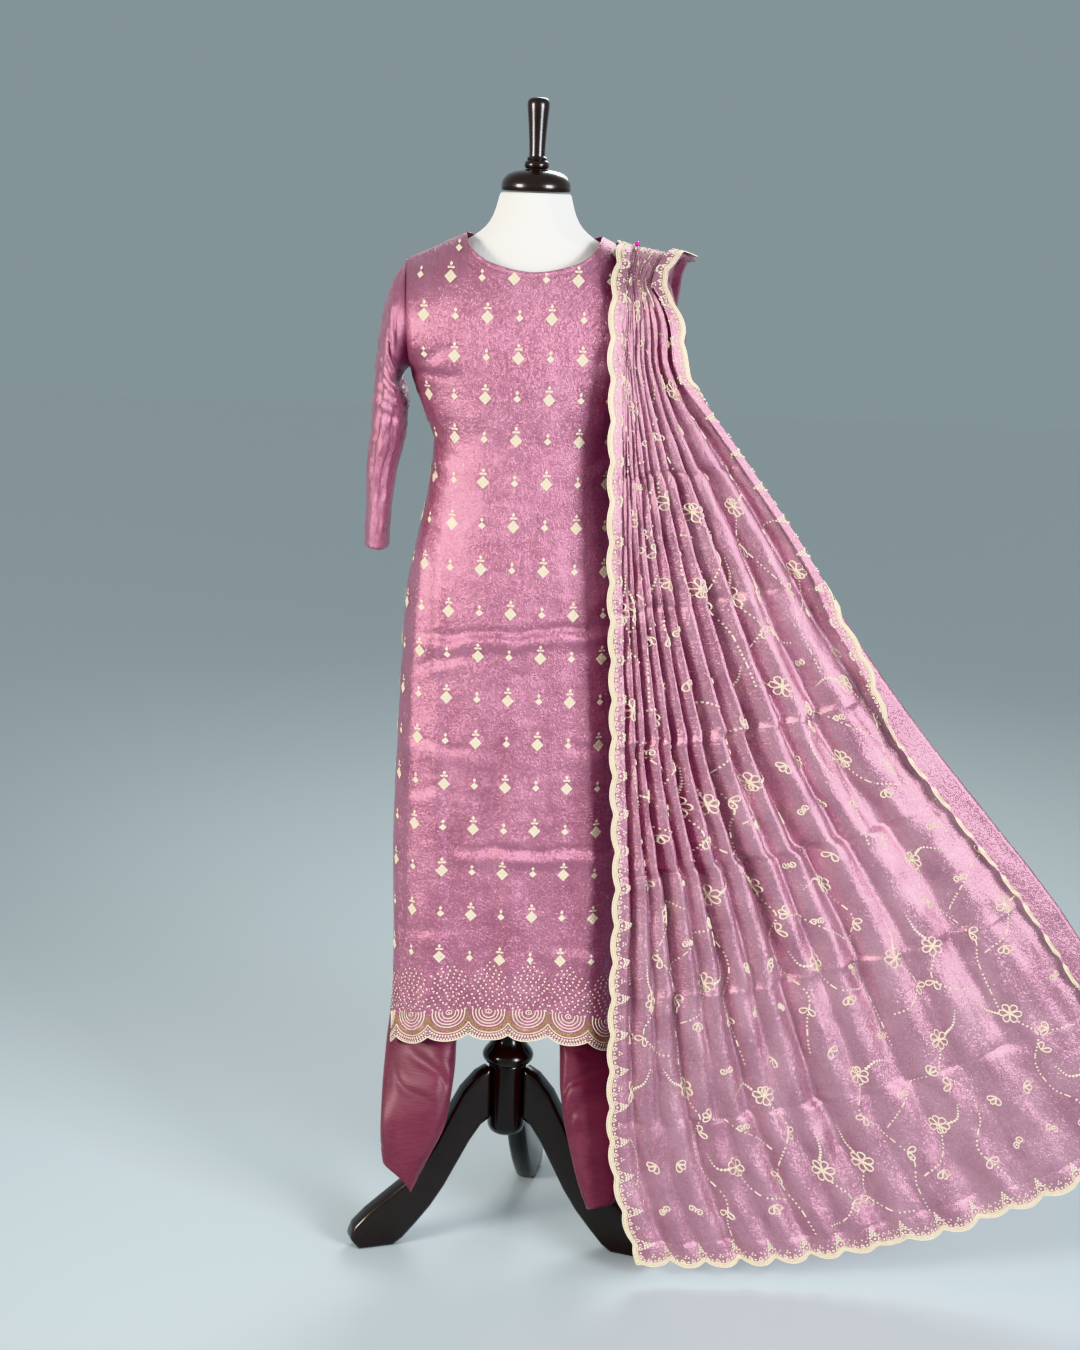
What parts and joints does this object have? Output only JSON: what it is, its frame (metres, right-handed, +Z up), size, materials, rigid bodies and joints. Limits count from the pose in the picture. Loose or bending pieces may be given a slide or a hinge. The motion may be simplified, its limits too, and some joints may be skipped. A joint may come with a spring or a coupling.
{
  "type": "salwar kameez suit on dress form",
  "caption": "Embroidered salwar kameez suit: round-neck tunic with sleeves and side slits, straight trousers and a pleated dupatta fanned from the shoulder, on a dress form with a tripod stand.",
  "frame": {"origin": "on the floor, under the centre of the object's box", "axes": "+Z up the stand's pole; +X to the wearer's left, along the fanned dupatta; the suit's front faces -Y"},
  "size_m": [1.212, 0.3894, 1.65],
  "materials": {
    "form_jersey": "matt white stretched jersey",
    "cap_wood": "dark brown turned wood, glossy lacquer",
    "stand_lacquer": "near-black wood, glossy lacquer",
    "kameez_silk": "mauve-rose tissue satin silk with a crinkled sheen",
    "trouser_silk": "plum raw silk, softer sheen",
    "dupatta_silk": "sheer mauve tissue silk with a cool metallic sheen",
    "pin_head": "magenta pearl pin head"
  },
  "bodies": {
    "root": {"form_torso": "form_jersey", "neck_cap": "cap_wood", "neck_cap_handle": "cap_wood", "stand_pole": "stand_lacquer", "stand_hub": "stand_lacquer", "stand_leg_right": "stand_lacquer", "stand_leg_left": "stand_lacquer", "stand_leg_rear": "stand_lacquer", "kameez_front": "kameez_silk", "kameez_back": "kameez_silk", "sleeve_right": "kameez_silk", "sleeve_left": "kameez_silk", "trouser_waistband": "trouser_silk", "trouser_leg_right": "trouser_silk", "trouser_leg_left": "trouser_silk", "dupatta_front": "dupatta_silk", "dupatta_turned_edge": "dupatta_silk", "dupatta_shoulder": "dupatta_silk", "dupatta_back": "dupatta_silk", "dupatta_pin": "pin_head"}
  },
  "joints": []
}
